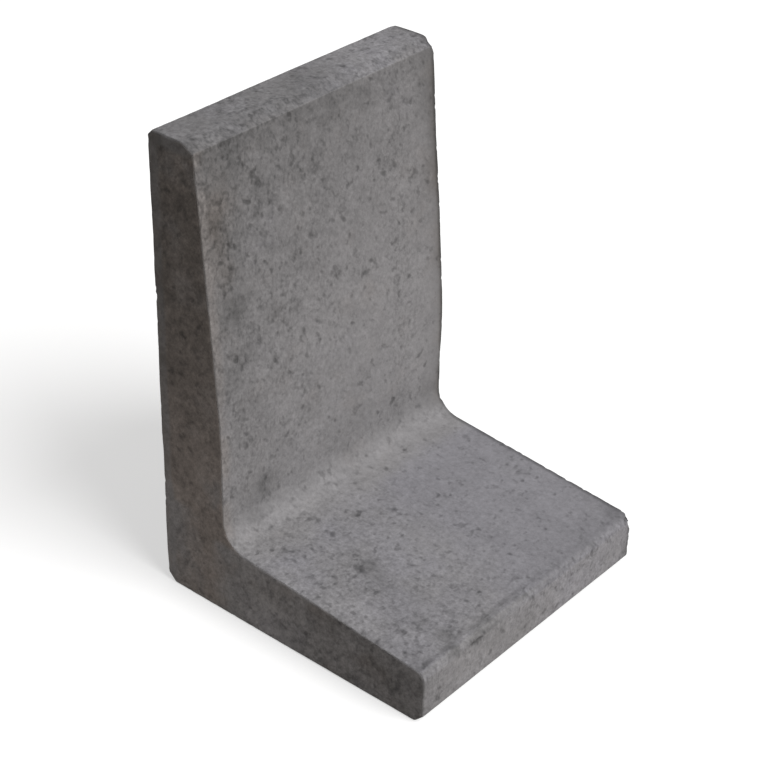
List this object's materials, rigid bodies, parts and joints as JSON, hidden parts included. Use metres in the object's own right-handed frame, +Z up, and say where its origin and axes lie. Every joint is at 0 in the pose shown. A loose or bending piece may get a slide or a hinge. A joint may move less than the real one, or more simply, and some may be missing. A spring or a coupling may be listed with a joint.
{
  "type": "l-shaped concrete retaining wall block",
  "caption": "One-piece L-shaped precast concrete block with a tapering stem, a rounded root and a thinning foot, for low retaining walls, edgings and steps.",
  "frame": {"origin": "centre of the footprint, on the floor", "axes": "+X from the outer wall face towards the toe of the foot, +Y along the wall, +Z up"},
  "size_m": [0.4, 0.4, 0.6],
  "materials": {
    "concrete": "bare cast grey concrete, matt, with pores and light weathering"
  },
  "bodies": {
    "root": {"concrete_block": "concrete"}
  },
  "joints": []
}
